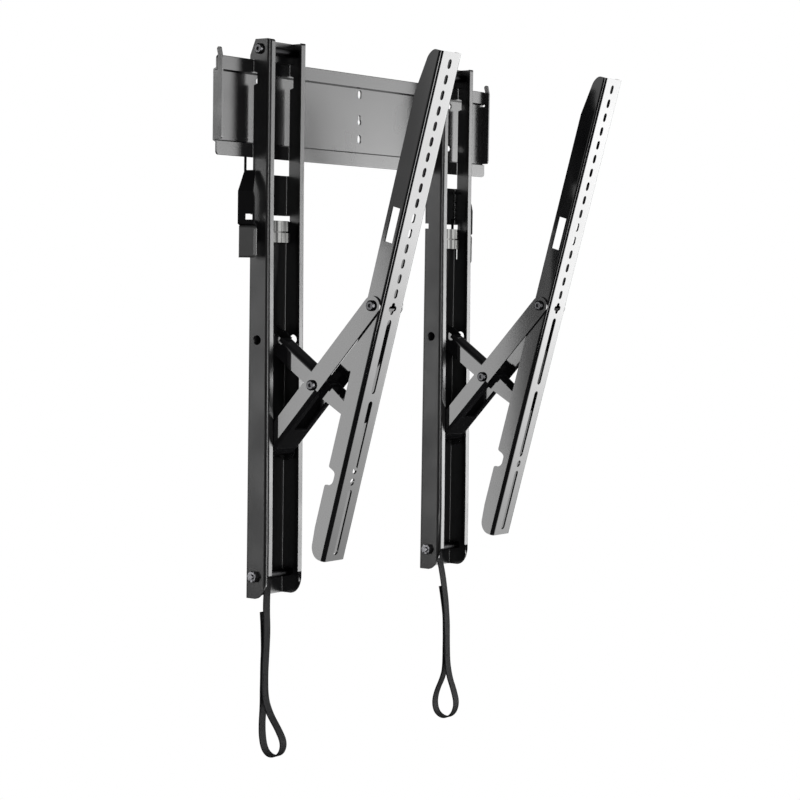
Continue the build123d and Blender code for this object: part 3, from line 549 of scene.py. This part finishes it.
# the routes' points in millimetres: depth from the wall, and height
STRAP_TOP = [
    (16.0, -176.0), (16.0, -206.0), (8.5, -252.0), (7.0, -330.0), (7.1, -450.0), (7.0, -546.0), (9.3, -598.0),
]
STRAP_HANG = {
    "left": [
        (9.4, -634.0), (7.0, -664.0), (9.3, -704.0), (5.8, -756.0), (6.4, -792.0), (15.0, -813.0),
        (31.0, -833.0), (41.0, -850.0), (36.0, -866.0), (20.0, -872.0), (7.0, -864.0), (2.4, -845.0),
        (2.0, -824.0), (3.6, -808.0), (3.6, -792.0),
    ],
    "right": [
        (9.6, -630.0), (20.0, -668.0), (28.0, -726.0), (28.6, -786.0), (33.0, -815.0), (42.5, -837.0),
        (48.0, -856.0), (42.0, -873.0), (27.0, -880.5), (12.0, -874.0), (7.4, -858.0), (11.5, -840.0),
        (21.0, -821.0), (25.8, -804.0), (25.8, -786.0),
    ],
}
STRAP_TAIL = {
    "left": [(3.6, -792.0), (3.6, -756.0), (5.2, -712.0), (2.0, -675.0)],
    "right": [(25.8, -786.0), (25.8, -750.0), (24.4, -715.0), (17.0, -681.0)],
}
# the steps along the woven surface and along the declared path, and the spline's points to each of its parts
WOVEN_STEP, PATH_STEP, ROUTE_FINENESS = 0.0015, 0.004, 16
# points across the strap's face and round each selvedge
FACE_POINTS, SELVEDGE_POINTS = 33, 5
# warp ribs over the width, their rise as a share of the thickness, and the face's as a share of half of it
WARP_RIBS, RIB_RISE, FACE_RISE = 7.0, 0.045, 0.94
# the ripple of the width: its share, and radians to the metre
RIPPLE_SHARE, RIPPLE_TURN = 0.012, 170.0


def route_line(x, points):
    """The smooth line of a strap, read from a NURBS curve whose control points are the route's own."""
    curve = bpy.data.curves.new("route", "CURVE")
    curve.dimensions = "3D"
    spline = curve.splines.new("NURBS")
    spline.points.add(len(points) - 1)
    depth, z = np.array(points).T / 1000
    spline.points.foreach_set("co", np.stack([np.full_like(z, x), -depth, z, np.ones_like(z)], -1).ravel())
    spline.order_u = 3
    spline.use_endpoint_u = True
    spline.resolution_u = ROUTE_FINENESS
    holder = placed("route", curve)
    bpy.context.view_layer.update()
    mesh = bpy.data.meshes.new_from_object(holder.evaluated_get(bpy.context.evaluated_depsgraph_get()))
    line = corner_array(mesh)
    bpy.data.objects.remove(holder)
    bpy.data.curves.remove(curve)
    bpy.data.meshes.remove(mesh)
    return line


def even(line, step):
    """The same line with points at an even spacing along it."""
    run = np.concatenate([[0.0], np.cumsum(np.linalg.norm(np.diff(line, axis=0), axis=1))])
    places = np.linspace(0.0, run[-1], max(2, int(round(run[-1] / step)) + 1))
    return np.stack([np.interp(places, run, line[:, k]) for k in range(3)], axis=1), places


def webbing_section(width, thick):
    """A flat strap's section with full round selvedges: half width w and half thickness t, x = +-(w - t) plus t
    times the cosine, y = t times the sine, and a low rib along each of the weave's warp bundles."""
    t, w = thick / 2, width / 2
    flat = np.linspace(-(w - t), w - t, FACE_POINTS)
    rib = RIB_RISE * thick * np.cos(flat / width * 2 * math.pi * WARP_RIBS)
    turn = np.linspace(math.pi / 2, -math.pi / 2, SELVEDGE_POINTS + 2)[1:-1]
    top = np.stack([flat, t * FACE_RISE + rib], -1)
    right_edge = np.stack([(w - t) + t * np.cos(turn), t * np.sin(turn)], -1)
    low = np.stack([flat[::-1], -t * FACE_RISE - rib[::-1]], -1)
    left_edge = np.stack([-(w - t) - t * np.cos(turn), -t * np.sin(turn)], -1)
    return np.concatenate([top, right_edge, low, left_edge])


def webbing(name, line, section):
    """Carries the section along the line, its width along X and its thickness along the line's normal in the side
    view. A slow ripple of about 1 percent in the width keeps the edges from being ruled straight."""
    points, run = even(line, WOVEN_STEP)
    along = np.gradient(points, axis=0)
    along /= np.linalg.norm(along, axis=1, keepdims=True)
    normal = np.cross(np.array([1.0, 0.0, 0.0]), along)
    normal /= np.linalg.norm(normal, axis=1, keepdims=True)
    wide = np.cross(along, normal)
    pull = 1.0 + RIPPLE_SHARE * np.sin(run * RIPPLE_TURN)[:, None, None]
    rings = (
        points[:, None, :]
        + section[None, :, 0:1] * wide[:, None, :] * pull
        + section[None, :, 1:2] * normal[:, None, :]
    )
    size = np.concatenate([[0.0], np.cumsum(np.linalg.norm(np.diff(section, axis=0), axis=1))])
    return closed_tube(name, rings, run, size)


# a wave texture repeats every 0.314 / scale metres
RIB_SCALE, PICK_SCALE, DYE_PER_M = 160.0, 225.0, 45.0


def woven_black():
    """Polypropylene webbing, woven and dyed black, with painted highlights: broad and soft on ribs about 2 mm
    apart, with picks crossing them every 1.4 mm, drawn a little coarser than real so that they show."""
    made, tree = blank_material("black_polypropylene_webbing")
    place = node(tree, "ShaderNodeTexCoord")
    rib = node(
        tree, "ShaderNodeTexWave", [("Vector", place, "UV")],
        bands_direction="X", wave_profile="SIN", in_Scale=RIB_SCALE, in_Distortion=0.6, in_Detail=1.0,
    )
    pick = node(
        tree, "ShaderNodeTexWave", [("Vector", place, "UV")],
        bands_direction="Y", wave_profile="SIN", in_Scale=PICK_SCALE, in_Distortion=1.4, in_Detail=2.0,
    )
    weave = node(tree, "ShaderNodeMath", [(0, rib, "Fac"), (1, pick, "Fac")], operation="MULTIPLY")
    dye = node(tree, "ShaderNodeTexNoise", [("Vector", place, "Object")], in_Scale=DYE_PER_M, in_Detail=3.0)
    shade = node(tree, "ShaderNodeMath", [(0, weave, 0), (1, dye, "Fac")], operation="MULTIPLY_ADD", in_2=0.1)
    colour = node(tree, "ShaderNodeValToRGB", [(0, shade, 0)])
    dull, bright = colour.color_ramp.elements
    # painted highlight: the weave's ribs and picks run the colour lighter, scaled by the dye's tone
    dull.color, bright.color = linear("#080809"), linear("#1c1c1e")
    bump = node(tree, "ShaderNodeBump", [("Height", weave, 0)], in_Strength=0.55, in_Distance=0.0004)
    cloth = node(
        tree, "ShaderNodeBsdfPrincipled", [("Base Color", colour, 0), ("Normal", bump, 0)],
        in_Roughness=0.72, in_IOR=1.24,
    )
    node(tree, "ShaderNodeOutputMaterial", [(0, cloth, 0)])
    return made


# a stitch's half length and half thickness, the pitch of a row, the rows' distance from the middle, and the
# stitches in a row along the strap and in one across its end
STITCH_LONG, STITCH_THICK, STITCH_PITCH = 0.0014, 0.00038, 0.0036
SEAM_HALF, ROW_STITCHES, END_STITCHES = 0.0046, 9, 3
SEAM_LOW = {"left": -0.790, "right": -0.784}
STITCH_RINGS, STITCH_AROUND = 4, 8


def stitches(name, centres, halves):
    """Sewn threads as ellipsoids: each is its centre plus its half sizes times the sine and cosine of a polar
    angle and of an angle round, on one grid for them all, with single points at the poles."""
    polar = np.linspace(0.0, math.pi, STITCH_RINGS + 2)[1:-1]
    turn = np.linspace(0.0, 2 * math.pi, STITCH_AROUND + 1)[:-1]
    ball = np.stack(
        [
            np.outer(np.sin(polar), np.cos(turn)), np.outer(np.sin(polar), np.sin(turn)),
            np.outer(np.cos(polar), np.ones(STITCH_AROUND)),
        ],
        axis=-1,
    ).reshape(-1, 3)
    ball = np.concatenate([ball, [[0.0, 0.0, 1.0], [0.0, 0.0, -1.0]]])
    points = (centres[:, None, :] + halves[:, None, :] * ball[None]).reshape(-1, 3)
    i, j = np.meshgrid(np.arange(STITCH_RINGS - 1), np.arange(STITCH_AROUND), indexing="ij")
    k = (j + 1) % STITCH_AROUND
    here, below = i * STITCH_AROUND, (i + 1) * STITCH_AROUND
    sides = np.stack([here + j, below + j, below + k, here + k], -1).reshape(-1, 4)
    ring = np.arange(STITCH_AROUND)
    beside = (ring + 1) % STITCH_AROUND
    north, south, last_ring = len(ball) - 2, len(ball) - 1, (STITCH_RINGS - 1) * STITCH_AROUND
    crown = np.stack([np.full(STITCH_AROUND, north), ring, beside], -1)
    foot = np.stack([np.full(STITCH_AROUND, south), last_ring + beside, last_ring + ring], -1)
    starts = np.arange(len(centres))[:, None, None] * len(ball)
    faces = []
    for group in (sides, crown, foot):
        faces += (group[None] + starts).reshape(-1, group.shape[1]).tolist()
    mesh = bpy.data.meshes.new(name)
    mesh.from_pydata(points.tolist(), [], faces)
    mesh.validate()
    mesh.update()
    mesh.shade_smooth()
    return placed(name, mesh)


webbing_black = woven_black()
section = webbing_section(STRAP_W, STRAP_T)
for side, x in SIDES.items():
    hang = route_line(x, STRAP_TOP + STRAP_HANG[side])
    strap = webbing(f"{side}_strap", hang, section)
    end_line = route_line(x, STRAP_TAIL[side])
    tail = webbing(f"{side}_strap_end", end_line, section)
    # two rows run along the strap and a short row crosses it at each end, on the front and on the back
    rows = SEAM_LOW[side] + STITCH_PITCH * np.arange(ROW_STITCHES)
    cross = np.linspace(-SEAM_HALF / 2, SEAM_HALF / 2, END_STITCHES)
    seam_x = np.concatenate([np.full(ROW_STITCHES, -SEAM_HALF), np.full(ROW_STITCHES, SEAM_HALF), cross, cross])
    seam_z = np.concatenate([rows, rows, np.full(END_STITCHES, rows[0]), np.full(END_STITCHES, rows[-1])])
    down = hang[: int(np.argmin(hang[:, 2])) + 1][::-1]
    front_y = np.interp(seam_z, down[:, 2], down[:, 1]) - STRAP_T / 2
    back_y = np.interp(seam_z, end_line[:, 2], end_line[:, 1]) + STRAP_T / 2
    lies_across = np.arange(len(seam_x)) >= 2 * ROW_STITCHES
    halves = np.where(
        lies_across[:, None],
        [[STITCH_LONG, STITCH_THICK, STITCH_THICK]],
        [[STITCH_THICK, STITCH_THICK, STITCH_LONG]],
    )
    centres = np.concatenate([np.stack([x + seam_x, y, seam_z], -1) for y in (front_y, back_y)])
    seam = stitches(f"{side}_strap_seam", centres, np.concatenate([halves, halves]))
    seam.data.materials.append(webbing_black)
    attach(seam, f"{side}_latch")
    for piece, solid in ((strap, f"{side}_pull_strap"), (tail, f"{side}_strap_tail")):
        piece.data.materials.append(webbing_black)
        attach(piece, f"{side}_latch")
        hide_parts(solid)

# The lift arms: a long and a short link folded from 2.5 mm sheet and enamelled, crossed on one bolt. Nylon bushes
# space them, and nylon glides on their ends run in the channel and in the rail.
arm_enamel = black_enamel("black_enamel_arm", "#0b0b0c", "#121213", 0.07, 1.4, peel_rise=0.04)
CLOUD_MM = 6.25


def black_nylon(name):
    """Turned and moulded black nylon: a soft sheen with faint cloudy mottling about 6 mm across."""
    made, tree = blank_material(name)
    place = node(tree, "ShaderNodeTexCoord")
    cloud = node(
        tree, "ShaderNodeTexNoise", [("Vector", place, "Object")], in_Scale=1000.0 / CLOUD_MM, in_Detail=4.0
    )
    colour = node(tree, "ShaderNodeValToRGB", [(0, cloud, "Fac")])
    dull, bright = colour.color_ramp.elements
    dull.color, bright.color = linear("#131314"), linear("#1d1d1f")
    bump = node(tree, "ShaderNodeBump", [("Height", cloud, "Fac")], in_Strength=0.12, in_Distance=0.0003)
    gloss = node(tree, "ShaderNodeMapRange", [("Value", cloud, "Fac")], in_To_Min=0.38, in_To_Max=0.5)
    nylon = node(
        tree, "ShaderNodeBsdfPrincipled",
        [("Base Color", colour, 0), ("Roughness", gloss, 0), ("Normal", bump, 0)], in_IOR=1.53,
    )
    node(tree, "ShaderNodeOutputMaterial", [(0, nylon, 0)])
    return made


glide_nylon = black_nylon("black_nylon_glide")
for side in SIDES:
    for piece in ("long_arm", "short_arm"):
        finish_node(f"{side}_{piece}", arm_enamel)
    for piece in ("rail_glide", "centre_bushes", "track_glides"):
        finish_node(f"{side}_{piece}", glide_nylon)

# The rails: channels folded from 2.5 mm sheet, punched with a row of short slots and three long ones, and
# enamelled as smoothly as the arms. The screen's screws go through them.
rail_enamel = black_enamel("black_enamel_rail", "#0b0b0c", "#111112", 0.07, 1.4, peel_rise=0.04)
RAIL_LEAN = math.radians(15.1)
# the length and depth of the taper at the top and at the foot, and the front part of the depth that stays
TAPER_LONG, TAPER_IN, LOW_LONG, LOW_IN, FRONT_KEPT = 0.058, 0.0085, 0.040, 0.0030, 0.0035
TAPER_CUTS = (0.25, 0.5, 0.75, 1.0)


def tapered_rail(name, solid):
    """A merged copy of the folded rail whose side walls narrow towards both ends. A point at share s of the way
    along an end's taper, and share b of the wall's depth back from the front, moves forward by s times b times
    that end's taper; the front face stays as it is."""
    up = np.array([0.0, -math.sin(RAIL_LEAN), math.cos(RAIL_LEAN)])
    front = np.array([0.0, -math.cos(RAIL_LEAN), -math.sin(RAIL_LEAN)])
    mesh, shape = merged_copy(solid)
    heights = corner_array(mesh) @ up
    top, low = heights.max(), heights.min()
    for share in TAPER_CUTS:
        for place in (top - TAPER_LONG * share, low + LOW_LONG * share):
            cut_across(shape, up * place, up)
    shape.to_mesh(mesh)
    shape.free()
    points = corner_array(mesh)
    depth = points @ front
    rise = np.clip((points @ up - top) / TAPER_LONG + 1.0, 0.0, 1.0)
    back = np.clip((depth.max() - FRONT_KEPT - depth) / (np.ptp(depth) - FRONT_KEPT), 0.0, 1.0)
    sink = np.clip((low - points @ up) / LOW_LONG + 1.0, 0.0, 1.0)
    points += ((TAPER_IN * rise + LOW_IN * sink) * back)[:, None] * front
    mesh.vertices.foreach_set("co", points.ravel())
    mesh.update()
    return placed(name, mesh)


for side in SIDES:
    rail = tapered_rail(f"{side}_rail_channel", f"{side}_tv_rail")
    rail.data.materials.append(rail_enamel)
    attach(rail, f"{side}_rail")
    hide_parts(f"{side}_tv_rail")
